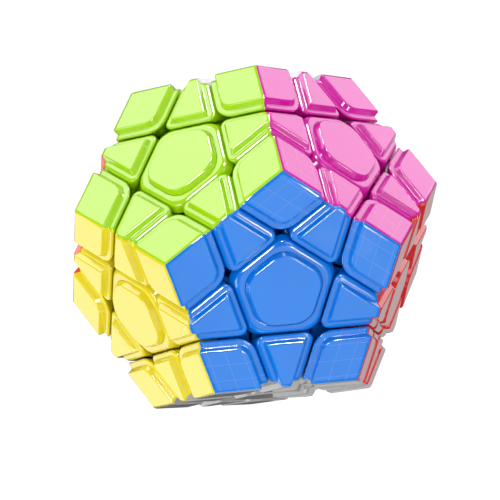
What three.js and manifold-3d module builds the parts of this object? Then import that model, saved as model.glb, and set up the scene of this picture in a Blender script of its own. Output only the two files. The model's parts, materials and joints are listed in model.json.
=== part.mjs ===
// Dodecahedron twisty puzzle: twelve faces round a twelve-armed core, thirty edge pieces, twenty corners.
// Three layers turn, each with a centre, its cap, and a sprung screw into the core. The centres of the
// other nine layers are one solid with the core.
// Millimetres, +Z up. The puzzle stands on its grey face and the origin is the middle of that face.
import * as THREE from "three";
import { mergeVertices } from "three/addons/utils/BufferGeometryUtils.js";
import Module from "manifold-3d";

const wasm = await Module();
wasm.setup();

// ---- Driving dimensions ----
const EDGE_LENGTH = 33; // edge of the dodecahedron
const CUT_DEPTH = 12.7; // along a face, from its edge to the seam beside it at the ledges' level
const SEAM = 0.45; // width of the seams between neighbouring pieces
const STEP = 1.3; // height of a tile's raised plateau over the ledge round it
const WALL_SLOPE = 0.55; // how far a plateau's wall leans over its height
const CORNER_LEDGE = 1.7; // seam wall to plateau wall, on a corner piece
const EDGE_LEDGE = 1.35; // the same on an edge piece
const CENTRE_LEDGE = 1.6; // the same on a centre
const CORNER_ROUND = 5; // radius of a corner piece's inner corner
const CORNER_TOP_ROUND = 3.4; // the same on its plateau
const EDGE_ROUND = 1.8; // radius of an edge piece's inner corners
const CENTRE_ROUND = 4.3; // radius of a centre's corners
const CAP_ROUND = 5.3; // radius of a cap's corners
const ROOF = 2.5; // plastic left over the feet of the pieces that reach under a centre
const FOOT_THICKNESS = 5.2; // radial room for the feet
const FOOT_LIP = 1.9; // how far a foot reaches sideways under its neighbours
const SLIP = 0.25; // clearance each side of a sliding surface
const NECK_INSET = 0.1; // how far a foot's neck stays inside its piece's sides
const SKIRT_THICKNESS = 2.6; // round skirt under each centre, which carries the feet
const SKIRT_GAP = 0.8; // between the rims of neighbouring skirts
const BOSS_RADIUS = 6.5; // boss under a centre, and the arm of the core that meets it
const POST_GAP = 1.6; // between the post that joins skirt and foot and the feet round it
const ARM_RADIUS = 5; // arm of the core where it leaves the hub
const HUB_RADIUS = 13; // ball in the middle of the core
const ARM_END = 20; // length of an arm from the puzzle's middle
const RECESS = 1; // depth of the recess that a cap sits in, below the ledge
const FIT = 0.3; // clearance round caps and screws
const PLUG_LEDGE = 1.2; // from a cap's rim to the plug under it
const PLUG_LENGTH = 2.2; // plug under a cap
const SCREW_HEAD = 3.4; // radius of the screw's head
const SCREW_HEAD_HEIGHT = 1.8;
const SCREW_SHANK = 1.5; // radius of the screw's thread
const WASHER_RADIUS = 3.8;
const WASHER_THICKNESS = 0.6;
const SPRING_RADIUS = 3.1; // outer radius of the coil spring's envelope
const SPRING_LENGTH = 3.6;
const SCREW_IN_ARM = 7; // length of thread in the core's arm

// ---- How finely round shapes are cut into flats, and how close counts as touching ----
const CONE_SIDES = 20;
const BALL_DETAIL = 2;
const ROUND_SIDES = 10;
const ROUND_FLATS = 1; // flats across a rounded corner
const ONE_POINT = 1e-4; // points closer than this are the same point
const ON_PLANE = 1e-5; // a point closer than this to a plane lies in it
const TINY = 1e-6; // below this a number counts as nothing
const SETTLED = 1e-9; // a length that changes by less than this has settled

const CORE_COLOUR = 0x2a2a2e;
const STEEL_COLOUR = 0xc8c8cc;

// ---- Worked out from them ----
const NORMAL_COS = 1 / Math.sqrt(5); // cosine between the axes of neighbouring faces
const NORMAL_SIN = 2 / Math.sqrt(5);
const FACE_APOTHEM = EDGE_LENGTH / (2 * Math.tan(Math.PI / 5)); // middle of a face to its edge
const INRADIUS = FACE_APOTHEM * Math.tan(Math.acos(-NORMAL_COS) / 2); // puzzle's middle to a face
const LEDGE_LEVEL = INRADIUS - STEP;
const SEAM_REACH = FACE_APOTHEM - CUT_DEPTH; // middle of a face to the middle of a seam
const CUT_LEVEL = LEDGE_LEVEL * NORMAL_COS + SEAM_REACH * NORMAL_SIN; // puzzle's middle to a layer's cut
const INSIDE_CUT = CUT_LEVEL + SEAM / 2; // the cut's side that turns with the layer
const OUTSIDE_CUT = CUT_LEVEL - SEAM / 2; // the side that stays
const BETWEEN_AXES = Math.acos(NORMAL_COS);
const FOOT_TOP = footTop(); // outer radius of the feet
const NECK_ANGLE = Math.acos(CUT_LEVEL / FOOT_TOP); // the cut's angle from its axis at that radius
const FOOT_ANGLE = NECK_ANGLE + FOOT_LIP / FOOT_TOP;
const FOOT_BOTTOM = FOOT_TOP - FOOT_THICKNESS;
const MID_FOOT = FOOT_TOP - FOOT_THICKNESS / 2;
const SKIRT_BOTTOM = FOOT_BOTTOM - SKIRT_THICKNESS;
const SKIRT_ANGLE = BETWEEN_AXES / 2 - SKIRT_GAP / 2 / FOOT_BOTTOM;
const POST_RADIUS = FOOT_BOTTOM * Math.sin(BETWEEN_AXES - FOOT_ANGLE) - POST_GAP;
const BOSS_BOTTOM = ARM_END + 2 * SLIP;
const CAP_BOTTOM = LEDGE_LEVEL - RECESS + FIT;
const CAP_APOTHEM = SEAM_REACH - SEAM / 2 - CENTRE_LEDGE; // middle of a cap to its rim
const PLUG_RADIUS = CAP_APOTHEM - PLUG_LEDGE;
const PLUG_END = CAP_BOTTOM - PLUG_LENGTH;
const HEAD_BOTTOM = PLUG_END - FIT - SCREW_HEAD_HEIGHT;
const WASHER_BOTTOM = HEAD_BOTTOM - WASHER_THICKNESS;
const SPRING_BOTTOM = WASHER_BOTTOM - SPRING_LENGTH;
const SEAT = SPRING_BOTTOM - FIT; // floor that the spring presses on
const SCREW_END = ARM_END - SCREW_IN_ARM;
const BORE_RADIUS = Math.max(WASHER_RADIUS, SCREW_HEAD) + FIT;
const SHANK_HOLE = SCREW_SHANK + FIT;
const FAR = 3 * INRADIUS; // longer than anything in the puzzle
const LEAN = Math.atan(WALL_SLOPE / STEP); // a plateau wall's lean from upright
const OVERLAP = 0.3; // how far solids that are joined run into each other

// Outer radius of the feet: ROOF is left over the tip of a foot that reaches under a centre.
function footTop() {
  let radius = LEDGE_LEVEL - ROOF;
  let last = 0;
  while (Math.abs(radius - last) > SETTLED) {
    const tip = BETWEEN_AXES - Math.acos(CUT_LEVEL / radius) - FOOT_LIP / radius;
    last = radius;
    radius = (LEDGE_LEVEL - ROOF) / Math.cos(tip);
  }
  return radius;
}

// ---- Faces: name, colour, and where the axis points ----
const RING_TILT = NORMAL_COS; // height of a ring face's axis on the unit ball
const FACES = [
  face("white", 0xf2f2f0, 1),
  face("pink", 0xee4fc4, RING_TILT, -54),
  face("cream", 0xf3e6b8, RING_TILT, 18),
  face("navy", 0x1d2f8f, RING_TILT, 90),
  face("orange", 0xf0640a, RING_TILT, 162),
  face("lime", 0xb4e61a, RING_TILT, 234),
  face("blue", 0x1a72dc, -RING_TILT, -90),
  face("red", 0xdc1e28, -RING_TILT, -18),
  face("green", 0x0f7a3c, -RING_TILT, 54),
  face("purple", 0x6a2ca0, -RING_TILT, 126),
  face("yellow", 0xf2dc1e, -RING_TILT, 198),
  face("grey", 0xa4a3a1, -1),
];
const TURNING = ["pink", "yellow", "navy"]; // the layers that turn: no two of them share a piece

function face(name, colour, height, azimuth = 0) {
  const flat = Math.sqrt(1 - height * height);
  const angle = THREE.MathUtils.degToRad(azimuth);
  const axis = new THREE.Vector3(flat * Math.cos(angle), flat * Math.sin(angle), height);
  return { name, colour, axis };
}

function touching(a, b) {
  return a !== b && a.axis.dot(b.axis) > 0;
}

// Unit vector in face a's plane that points at the edge it shares with face b.
function towards(a, b) {
  return b.axis.clone().addScaledVector(a.axis, -NORMAL_COS).divideScalar(NORMAL_SIN);
}

// ---- Solids ----
function solid(geometry) {
  const bare = geometry.clone();
  bare.deleteAttribute("normal");
  bare.deleteAttribute("uv");
  const merged = mergeVertices(bare, ONE_POINT);
  const vertProperties = merged.attributes.position.array;
  const triVerts = new Uint32Array(merged.index.array);
  return new wasm.Manifold(new wasm.Mesh({ numProp: 3, vertProperties, triVerts }));
}

function geometryOf(made) {
  const { numProp, vertProperties, triVerts } = made.getMesh();
  const geometry = new THREE.BufferGeometry();
  geometry.setAttribute("position", new THREE.BufferAttribute(vertProperties.slice(), numProp));
  geometry.setIndex(new THREE.BufferAttribute(triVerts.slice(), 1));
  geometry.computeVertexNormals();
  return geometry;
}

const join = (first, ...rest) => rest.reduce((sum, part) => sum.add(part), first);
const common = (first, ...rest) => rest.reduce((sum, part) => sum.intersect(part), first);
const cut = (first, ...rest) => rest.reduce((sum, part) => sum.subtract(part), first);

// A flat cut: what lies on the far side of it along normal is removed.
const plane = (normal, offset) => ({ normal, offset });
const below = (axis, level) => plane(axis.clone(), level);
const above = (axis, level) => plane(axis.clone().negate(), -level);

// Planes of a cube round the whole puzzle, which close a solid that is open at one side.
const BOX = [[1, 0, 0], [0, 1, 0], [0, 0, 1]].flatMap((direction) => {
  const axis = new THREE.Vector3(...direction);
  return [below(axis, FAR), above(axis, -FAR)];
});

// The convex solid inside all the planes: its corners are where three planes meet, its sides are fans.
function convex(planes) {
  const corners = [];
  planes.forEach((a, i) => planes.slice(i + 1).forEach((b, j) => {
    planes.slice(i + j + 2).forEach((c) => addCorner(corners, planes, a, b, c));
  }));
  const index = planes.flatMap(({ normal, offset }) => {
    const rim = corners.filter((corner) => Math.abs(normal.dot(corner) - offset) < ON_PLANE);
    if (rim.length < 3) return [];
    return fan(rim, normal, corners);
  });
  const geometry = new THREE.BufferGeometry().setFromPoints(corners);
  geometry.setIndex(index);
  return solid(geometry);
}

function addCorner(corners, planes, a, b, c) {
  const bc = b.normal.clone().cross(c.normal);
  const size = a.normal.dot(bc);
  if (Math.abs(size) < TINY) return;
  const corner = bc.multiplyScalar(a.offset)
    .addScaledVector(c.normal.clone().cross(a.normal), b.offset)
    .addScaledVector(a.normal.clone().cross(b.normal), c.offset)
    .divideScalar(size);
  if (planes.some(({ normal, offset }) => normal.dot(corner) > offset + TINY)) return;
  if (!corners.some((other) => other.distanceTo(corner) < ONE_POINT)) corners.push(corner);
}

function fan(rim, normal, corners) {
  const sum = rim.reduce((total, point) => total.add(point), new THREE.Vector3());
  const middle = sum.divideScalar(rim.length);
  const across = rim[0].clone().sub(middle).normalize();
  const up = normal.clone().cross(across);
  const angle = (point) => {
    const arm = point.clone().sub(middle);
    return Math.atan2(arm.dot(up), arm.dot(across));
  };
  const order = [...rim].sort((p, q) => angle(p) - angle(q)).map((point) => corners.indexOf(point));
  return order.slice(2).flatMap((corner, i) => [order[0], order[i + 1], corner]);
}

// Planes that round off the edge where planes a and b meet, with that radius.
function rounding(a, b, radius) {
  const cosine = a.normal.dot(b.normal);
  const share = 1 / (1 - cosine * cosine);
  const offsetA = (a.offset - radius - cosine * (b.offset - radius)) * share;
  const offsetB = (b.offset - radius - cosine * (a.offset - radius)) * share;
  const centre = a.normal.clone().multiplyScalar(offsetA).addScaledVector(b.normal, offsetB);
  const angle = Math.acos(cosine);
  return Array.from({ length: ROUND_FLATS }, (_, i) => {
    const part = (i + 1) / (ROUND_FLATS + 1);
    const normal = a.normal.clone().multiplyScalar(Math.sin((1 - part) * angle))
      .addScaledVector(b.normal, Math.sin(part * angle)).divideScalar(Math.sin(angle));
    return plane(normal, normal.dot(centre) + radius);
  });
}

// A geometry made round the Y axis, turned to stand along axis.
function along(geometry, axis) {
  const up = new THREE.Vector3(0, 1, 0);
  return geometry.applyQuaternion(new THREE.Quaternion().setFromUnitVectors(up, axis));
}

function rod(axis, radius, from, to) {
  const shape = new THREE.CylinderGeometry(radius, radius, to - from, ROUND_SIDES);
  return solid(along(shape.translate(0, (from + to) / 2, 0), axis));
}

// A cone about an axis, with its tip near the puzzle's middle. A grown cone has its flats, not its
// corners, on the true cone, and is moved so that what it cuts away leaves the clearance.
function cone(axis, angle, grown) {
  const side = grown ? 1 / Math.cos(Math.PI / CONE_SIDES) : 1;
  const shape = new THREE.ConeGeometry(FAR * Math.tan(angle) * side, FAR, CONE_SIDES);
  const shift = ((grown ? -1 : 1) * SLIP) / Math.sin(angle);
  return solid(along(shape.rotateX(Math.PI).translate(0, FAR / 2 + shift, 0), axis));
}

// The turn that carries one set of three axes to another.
function turnBetween(from, to) {
  return basis(...to).multiply(basis(...from).invert());
}

function basis(a, b, c) {
  return new THREE.Matrix4().makeBasis(a, b, c);
}

// Turns a ball of flats so that a corner of it lies on each face's axis.
const GOLDEN = (1 + Math.sqrt(5)) / 2;
const BALL_CORNERS = [-1, 1].map((side) => new THREE.Vector3(0, side, GOLDEN).normalize());
const pairOfAxes = (a, b) => [a, b, a.clone().cross(b)];
const BALL_TURN = turnBetween(pairOfAxes(...BALL_CORNERS), pairOfAxes(FACES[0].axis, FACES[1].axis));

// A ball of flats: they stay within the radius, or outside it where grown is true.
function ball(radius, grown) {
  const shape = new THREE.IcosahedronGeometry(1, BALL_DETAIL).applyMatrix4(BALL_TURN);
  const size = grown ? radius / nearestFlat(shape) : radius;
  return solid(shape.scale(size, size, size));
}

// Distance from the origin to the nearest flat of a geometry that isn't indexed.
function nearestFlat(shape) {
  const points = shape.attributes.position;
  const distances = [];
  for (let i = 0; i < points.count; i += 3) {
    const flat = [0, 1, 2].map((k) => new THREE.Vector3().fromBufferAttribute(points, i + k));
    distances.push(Math.abs(new THREE.Plane().setFromCoplanarPoints(...flat).constant));
  }
  return Math.min(...distances);
}

const BALLS = {
  overFeet: ball(FOOT_TOP + SLIP, true),
  neck: ball(FOOT_TOP + SLIP + OVERLAP, true),
  feet: ball(FOOT_TOP - SLIP, false),
  midFoot: ball(MID_FOOT, false),
  underFeet: ball(FOOT_BOTTOM + SLIP, true),
};

// What lies inside the cones of a piece's own layers and outside the cones of the others.
function withinCones(block, inside, outside) {
  const held = common(block, ...inside.map((f) => cone(f.axis, FOOT_ANGLE, false)));
  return cut(held, ...outside.map((f) => cone(f.axis, FOOT_ANGLE, true)));
}

// The direction where the foot cones of faces a and b cross, on the side of face c.
function conesCross(a, b, c) {
  const share = Math.cos(FOOT_ANGLE) / (1 + NORMAL_COS);
  const between = a.axis.clone().add(b.axis).multiplyScalar(share);
  const across = a.axis.clone().cross(b.axis).normalize();
  const side = Math.sign(across.dot(c.axis));
  return between.addScaledVector(across, side * Math.sqrt(1 - between.lengthSq()));
}

// The plane that touches the foot cone of face f on the side of the direction out, moved clear of it.
function besideFoot(f, out) {
  const across = out.clone().addScaledVector(f.axis, -out.dot(f.axis)).normalize();
  const normal = f.axis.clone().multiplyScalar(Math.sin(FOOT_ANGLE))
    .addScaledVector(across, -Math.cos(FOOT_ANGLE));
  return plane(normal, -SLIP - NECK_INSET);
}

// The body of an edge or corner piece: a flat underside over the feet, a neck, and a flat foot under it.
// tip is the direction of the point of the foot that lies furthest from its middle.
function withFlatFoot(tile, inside, outside, tip) {
  const out = inside.reduce((sum, f) => sum.add(f.axis), new THREE.Vector3()).normalize();
  const slab = (from, to) => [above(out, from), below(out, to)];
  const footFloor = FOOT_BOTTOM + SLIP;
  const footLevel = (FOOT_TOP - SLIP) * out.dot(tip);
  const underside = FOOT_TOP + SLIP;
  const body = common(tile, convex([...BOX, above(out, underside)]));
  const plate = withinCones(convex([...BOX, ...slab(footFloor, footLevel)]), inside, outside);
  const neck = convex([
    ...BOX,
    ...inside.map((f) => above(f.axis, INSIDE_CUT + NECK_INSET)),
    ...outside.map((f) => besideFoot(f, out)),
    ...slab((footFloor + footLevel) / 2, underside + OVERLAP),
  ]);
  return join(body, neck, plate);
}

// A centre's body, rounded out underneath over the feet of its neighbours, with its own foot below.
function withRoundFoot(tile, f) {
  const space = withinCones(cut(BALLS.neck, BALLS.underFeet), [f], neighbours(f));
  const round = cut(BALLS.overFeet, cut(space, BALLS.midFoot));
  return join(cut(tile, round), common(space, BALLS.feet));
}

// ---- Plateaus ----
const inner = (ledge) => SEAM_REACH + SEAM / 2 + ledge; // a face's middle to a wall beyond a seam
const outer = (ledge) => SEAM_REACH - SEAM / 2 - ledge; // a face's middle to a wall short of a seam

// The sloped wall of a plateau on face f beside the cut that lies towards face g. The wall's foot is at
// reach from the middle of the face; outward is 1 where the wall looks at g and -1 where it looks away.
function wall(f, g, reach, outward) {
  const across = towards(f, g);
  const base = across.clone().multiplyScalar(reach).addScaledVector(f.axis, LEDGE_LEVEL);
  const normal = across.multiplyScalar(outward * Math.cos(LEAN)).addScaledVector(f.axis, Math.sin(LEAN));
  return plane(normal, normal.dot(base));
}

// Lowers a piece's face f to the ledge, outside the walls of its plateau.
function withLedge(body, f, walls) {
  const overLedge = convex([...BOX, above(f.axis, LEDGE_LEVEL)]);
  return cut(body, cut(overLedge, convex([...BOX, ...walls])));
}

// ---- The three shapes of piece ----
function cornerSolid(faces) {
  const cuts = faces.map((f) => above(f.axis, INSIDE_CUT));
  const rounds = [[0, 1], [1, 2], [2, 0]].flatMap(([i, j]) => rounding(cuts[i], cuts[j], CORNER_ROUND));
  const block = convex([...faces.map((f) => below(f.axis, INRADIUS)), ...cuts, ...rounds]);
  const tile = faces.reduce((body, f) => {
    const walls = faces.filter((g) => g !== f).map((g) => wall(f, g, inner(CORNER_LEDGE), -1));
    return withLedge(body, f, [...walls, ...rounding(...walls, CORNER_TOP_ROUND)]);
  }, block);
  return withFlatFoot(tile, faces, [], conesCross(...faces));
}

function edgeSolid(pair) {
  const ends = FACES.filter((f) => pair.every((g) => touching(f, g)));
  const cuts = pair.map((f) => above(f.axis, INSIDE_CUT));
  const sides = ends.map((f) => below(f.axis, OUTSIDE_CUT));
  const rounds = cuts.flatMap((c) => sides.flatMap((s) => rounding(c, s, EDGE_ROUND)));
  const block = convex([...pair.map((f) => below(f.axis, INRADIUS)), ...cuts, ...sides, ...rounds]);
  const tile = pair.reduce((body, f, i) => {
    const back = wall(f, pair[1 - i], inner(EDGE_LEDGE), -1);
    return withLedge(body, f, [back, ...ends.map((g) => wall(f, g, outer(EDGE_LEDGE), 1))]);
  }, block);
  return withFlatFoot(tile, pair, ends, conesCross(pair[0], ends[0], pair[1]));
}

const neighbours = (f) => FACES.filter((g) => touching(f, g));

// Five planes round face f, one for each neighbour, and the planes that round the edges between them.
function ring(f, side, radius) {
  const around = neighbours(f);
  const sides = around.map((g) => side(g));
  const rounds = around.flatMap((g, i) => around.flatMap((h, j) =>
    j > i && touching(g, h) ? rounding(sides[i], sides[j], radius) : []));
  return [...sides, ...rounds];
}

const capWalls = (f) => ring(f, (g) => wall(f, g, CAP_APOTHEM, 1), CAP_ROUND);

// A centre up to the given level of its face, with its foot, its skirt and the boss over the core's arm.
function centreSolid(f, top) {
  const sides = ring(f, (g) => below(g.axis, OUTSIDE_CUT), CENTRE_ROUND);
  const block = convex([below(f.axis, top), above(f.axis, INSIDE_CUT), ...sides]);
  const tile = top > LEDGE_LEVEL ? withLedge(block, f, capWalls(f)) : block;
  return join(withRoundFoot(tile, f), skirtSolid(f));
}

// The boss over the core's arm, the round skirt that spreads from it under the feet, and the post that goes
// up between them, as one turned shape.
function skirtSolid(f) {
  const point = (radius, angle) => new THREE.Vector2(radius * Math.sin(angle), radius * Math.cos(angle));
  const top = FOOT_BOTTOM - SLIP;
  const bossAngle = Math.asin(BOSS_RADIUS / SKIRT_BOTTOM);
  const profile = [
    new THREE.Vector2(0, BOSS_BOTTOM),
    new THREE.Vector2(BOSS_RADIUS, BOSS_BOTTOM),
    point(SKIRT_BOTTOM, bossAngle),
    point(SKIRT_BOTTOM, SKIRT_ANGLE),
    point(top, SKIRT_ANGLE),
    point(top, Math.asin(POST_RADIUS / top)),
    new THREE.Vector2(POST_RADIUS, MID_FOOT),
    new THREE.Vector2(0, MID_FOOT),
  ];
  return solid(along(new THREE.LatheGeometry(profile, ROUND_SIDES), f.axis));
}

function capSolid(f) {
  const rim = ring(f, (g) => plane(towards(f, g), CAP_APOTHEM), CAP_ROUND);
  const plate = convex([below(f.axis, INRADIUS), above(f.axis, CAP_BOTTOM), ...rim, ...capWalls(f)]);
  return join(plate, rod(f.axis, PLUG_RADIUS, PLUG_END, CAP_BOTTOM + OVERLAP));
}

// A centre that turns: it has the recess for its cap and the bore for its screw and spring.
function openCentreSolid(f) {
  const rim = ring(f, (g) => plane(towards(f, g), CAP_APOTHEM + FIT), CAP_ROUND + FIT);
  return cut(
    centreSolid(f, LEDGE_LEVEL),
    convex([below(f.axis, INRADIUS), above(f.axis, LEDGE_LEVEL - RECESS), ...rim]),
    rod(f.axis, PLUG_RADIUS + FIT, PLUG_END - FIT, INRADIUS),
    rod(f.axis, BORE_RADIUS, SEAT, INRADIUS),
    rod(f.axis, SHANK_HOLE, ARM_END, INRADIUS),
  );
}

// The twelve-armed core, with the centres of the nine layers that stay joined to its arms.
function coreSolid() {
  const arms = FACES.map((f) => {
    const arm = new THREE.CylinderGeometry(BOSS_RADIUS, ARM_RADIUS, ARM_END, ROUND_SIDES);
    return solid(along(arm.translate(0, ARM_END / 2, 0), f.axis));
  });
  const fixed = FACES.filter((f) => !TURNING.includes(f.name)).flatMap((f) => {
    const bridge = rod(f.axis, ARM_RADIUS, ARM_END - OVERLAP, BOSS_BOTTOM + OVERLAP);
    return [centreSolid(f, INRADIUS), bridge];
  });
  const holes = FACES.filter((f) => TURNING.includes(f.name))
    .map((f) => rod(f.axis, SHANK_HOLE, SCREW_END - FIT, ARM_END + OVERLAP));
  return cut(join(ball(HUB_RADIUS, false), ...arms, ...fixed), ...holes);
}

// Screw with its washer and the envelope of its spring, turned from these radii and levels.
function screwSolid(f) {
  const steps = [
    [SCREW_SHANK, SCREW_END, SPRING_BOTTOM],
    [SPRING_RADIUS, SPRING_BOTTOM, WASHER_BOTTOM],
    [WASHER_RADIUS, WASHER_BOTTOM, HEAD_BOTTOM],
    [SCREW_HEAD, HEAD_BOTTOM, HEAD_BOTTOM + SCREW_HEAD_HEIGHT],
  ];
  const outline = steps.flatMap(([radius, from, to]) => [[radius, from], [radius, to]]);
  const profile = [[0, SCREW_END], ...outline, [0, HEAD_BOTTOM + SCREW_HEAD_HEIGHT]];
  const points = profile.map(([radius, level]) => new THREE.Vector2(radius, level));
  return solid(along(new THREE.LatheGeometry(points, ROUND_SIDES), f.axis));
}

// ---- The assembly ----
const puzzle = new THREE.Group();
puzzle.name = "dodecahedron_puzzle";
puzzle.position.z = INRADIUS;

function piece(name, geometry, colour, metalness = 0) {
  const material = new THREE.MeshStandardMaterial({ color: colour, roughness: 0.25, metalness });
  const mesh = new THREE.Mesh(geometry, material);
  mesh.name = name;
  puzzle.add(mesh);
  return mesh;
}

// The three faces of a corner, in the order that runs anticlockwise seen from outside.
function handed([a, b, c]) {
  return a.axis.dot(b.axis.clone().cross(c.axis)) > 0 ? [a, b, c] : [a, c, b];
}

const later = (f) => FACES.slice(FACES.indexOf(f) + 1);
const pairs = FACES.flatMap((a) => later(a).filter((b) => touching(a, b)).map((b) => [a, b]));
const corners = pairs.flatMap(([a, b]) =>
  later(b).filter((c) => touching(a, c) && touching(b, c)).map((c) => handed([a, b, c])));

const axesOfCorner = (corner) => corner.map((f) => f.axis);
const cornerShape = geometryOf(cornerSolid(corners[0]));
for (const corner of corners) {
  const mesh = piece("corner_" + corner.map((f) => f.name).join("_"), cornerShape, corner[0].colour);
  mesh.quaternion.setFromRotationMatrix(turnBetween(axesOfCorner(corners[0]), axesOfCorner(corner)));
}

const axesOfPair = ([a, b]) => pairOfAxes(a.axis, b.axis);
const edgeShape = geometryOf(edgeSolid(pairs[0]));
for (const pair of pairs) {
  const mesh = piece("edge_" + pair.map((f) => f.name).join("_"), edgeShape, pair[0].colour);
  mesh.quaternion.setFromRotationMatrix(turnBetween(axesOfPair(pairs[0]), axesOfPair(pair)));
}

for (const f of FACES.filter((g) => TURNING.includes(g.name))) {
  piece("centre_" + f.name, geometryOf(openCentreSolid(f)), f.colour);
  piece("cap_" + f.name, geometryOf(capSolid(f)), f.colour);
  piece("screw_" + f.name, geometryOf(screwSolid(f)), STEEL_COLOUR, 1);
}
piece("core_and_fixed_centres", geometryOf(coreSolid()), CORE_COLOUR);

export default puzzle;
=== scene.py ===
# %% [markdown]
# # A dodecahedron twisty puzzle in coloured plastic
#
# The real object is a twelve-sided puzzle. Every face has a five-sided centre, five edge tiles and five
# corner tiles, each with a raised flat on a lower ledge. The CAD model has the right pieces and joints,
# but its round parts are flats. This notebook keeps the CAD as a hidden frame and builds a smooth piece
# in each place, riding on the same body, so that the layers still turn and the caps still pull off.

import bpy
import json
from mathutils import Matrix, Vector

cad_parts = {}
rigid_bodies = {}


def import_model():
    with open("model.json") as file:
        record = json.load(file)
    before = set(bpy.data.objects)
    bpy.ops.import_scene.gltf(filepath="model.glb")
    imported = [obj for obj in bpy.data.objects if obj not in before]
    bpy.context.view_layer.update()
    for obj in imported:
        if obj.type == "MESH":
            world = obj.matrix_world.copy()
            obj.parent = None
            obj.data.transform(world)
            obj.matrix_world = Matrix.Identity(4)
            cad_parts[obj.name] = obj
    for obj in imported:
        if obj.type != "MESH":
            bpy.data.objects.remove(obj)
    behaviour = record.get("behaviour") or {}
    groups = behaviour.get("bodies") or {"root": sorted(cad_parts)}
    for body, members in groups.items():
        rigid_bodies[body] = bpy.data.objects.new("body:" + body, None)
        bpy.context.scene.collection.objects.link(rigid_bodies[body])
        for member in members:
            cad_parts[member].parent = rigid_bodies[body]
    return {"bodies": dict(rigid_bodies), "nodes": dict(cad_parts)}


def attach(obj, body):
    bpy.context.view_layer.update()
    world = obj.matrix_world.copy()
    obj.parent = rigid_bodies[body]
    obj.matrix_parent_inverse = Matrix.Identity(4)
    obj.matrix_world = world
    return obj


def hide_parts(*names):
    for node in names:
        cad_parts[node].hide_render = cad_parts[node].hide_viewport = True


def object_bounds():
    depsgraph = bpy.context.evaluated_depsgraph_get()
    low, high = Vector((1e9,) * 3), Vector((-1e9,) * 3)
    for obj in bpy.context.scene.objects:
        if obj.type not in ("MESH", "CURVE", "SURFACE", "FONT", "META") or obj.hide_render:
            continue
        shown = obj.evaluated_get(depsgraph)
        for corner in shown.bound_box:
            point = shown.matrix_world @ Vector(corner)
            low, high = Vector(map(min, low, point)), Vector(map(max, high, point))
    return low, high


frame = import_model()
cad_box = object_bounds()

# %% [markdown]
# ## Sizes
#
# Blender works in metres, but a puzzle is easier to think about in millimetres, so the shapes below are
# made in millimetres and shrunk once, when they become meshes. The overall size isn't typed in: it is
# half the height of the CAD box, and the golden ratio gives the rest of a dodecahedron. The cuts, ledges
# and rounded rims are the sizes a designer would choose, so they are named values.

# %% Driving sizes, in millimetres
import json
import math

import bmesh
import bpy
from mathutils import Matrix, Vector

MM = 0.001
GOLDEN = (1 + math.sqrt(5)) / 2
NORMAL_COS = 1 / math.sqrt(5)  # between the axes of neighbouring faces
NORMAL_SIN = 2 / math.sqrt(5)
INRADIUS = (cad_box[1].z - cad_box[0].z) / 2 / MM
FACE_APOTHEM = INRADIUS / GOLDEN
CENTRE = Vector((0, 0, cad_box[0].z / MM + INRADIUS))

CUT_DEPTH = 12.7  # from a face's edge to the seam beside it, at the ledges' level
SEAM = 0.45
STEP = 1.3  # plateau over ledge
WALL_LEAN = 0.55  # sideways lean of a plateau's wall
RIM = 0.7  # radius of a tile's outer rim
SEAM_LEAN = 0.5  # how far a seam's wall leans for each millimetre down
SEAM_REACH = FACE_APOTHEM - CUT_DEPTH
LEDGE_LEVEL = INRADIUS - STEP
CUT_LEVEL = LEDGE_LEVEL * NORMAL_COS + SEAM_REACH * NORMAL_SIN
print(f"in-radius {INRADIUS:.2f} mm, face apothem {FACE_APOTHEM:.2f} mm, cut at {CUT_LEVEL:.2f} mm")

# %% [markdown]
# ## Faces
#
# A dodecahedron's faces point up, down, and in two rings of five. Each colour has a height on the unit
# ball and an azimuth. The names are the ones that the CAD nodes use, so `corner_pink_lime_blue` tells
# which three faces the piece shows.

# %% Face axes
HEIGHTS = {"white": 1, "grey": -1}
UPPER = {"pink": -54, "cream": 18, "navy": 90, "orange": 162, "lime": 234}
LOWER = {"blue": -90, "red": -18, "green": 54, "purple": 126, "yellow": 198}


def pointing(height, azimuth=0):
    """The unit vector at that height on the unit ball."""
    flat = math.sqrt(1 - height * height)
    turn = math.radians(azimuth)
    return Vector((flat * math.cos(turn), flat * math.sin(turn), height))


AXES = {name: pointing(height) for name, height in HEIGHTS.items()}
AXES.update({name: pointing(NORMAL_COS, turn) for name, turn in UPPER.items()})
AXES.update({name: pointing(-NORMAL_COS, turn) for name, turn in LOWER.items()})


def neighbours(face):
    return [g for g in AXES if g != face and AXES[g].dot(AXES[face]) > 0]


def standing_on(face, other):
    """The frame of a face: origin in its middle, Z outward, X towards the edge it shares with other."""
    up = AXES[face]
    along = (AXES[other] - NORMAL_COS * up) / NORMAL_SIN
    turn = Matrix((along, up.cross(along), up)).transposed().to_4x4()
    return Matrix.Scale(MM, 4) @ Matrix.Translation(CENTRE + up * INRADIUS) @ turn


print("faces round blue:", neighbours("blue"))

# %% [markdown]
# ## Which body a piece rides on
#
# Three layers turn. A piece belongs to a layer if one of its colours is that layer's face, and no two of
# these layers share a piece. The body names come from the frame, so the rule can be read off them.

# %% Bodies
TURNING = sorted(name[: -len("_layer")] for name in frame["bodies"] if name.endswith("_layer"))


def body_for(colours):
    layer = [c for c in colours if c in TURNING]
    return layer[0] + "_layer" if layer else "puzzle"


CORNERS = [tuple(n.split("_")[1:]) for n in frame["nodes"] if n.startswith("corner_")]
EDGES = [tuple(n.split("_")[1:]) for n in frame["nodes"] if n.startswith("edge_")]
print("turning layers", TURNING, "corners", len(CORNERS), "edges", len(EDGES))

# %% [markdown]
# ## Shared finish: moulded grain
#
# Glossy puzzle plastic is never a flat colour. The pigment swirls a little as it flows into the mould,
# the surface has a very shallow orange-peel ripple, and thumbs leave faint duller patches. All colours
# share these, so they are one node group with named sockets. The group only gives out colour, roughness
# and a height; the shader stays in each material.

# %% A node group helper and the moulded grain group


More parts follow.
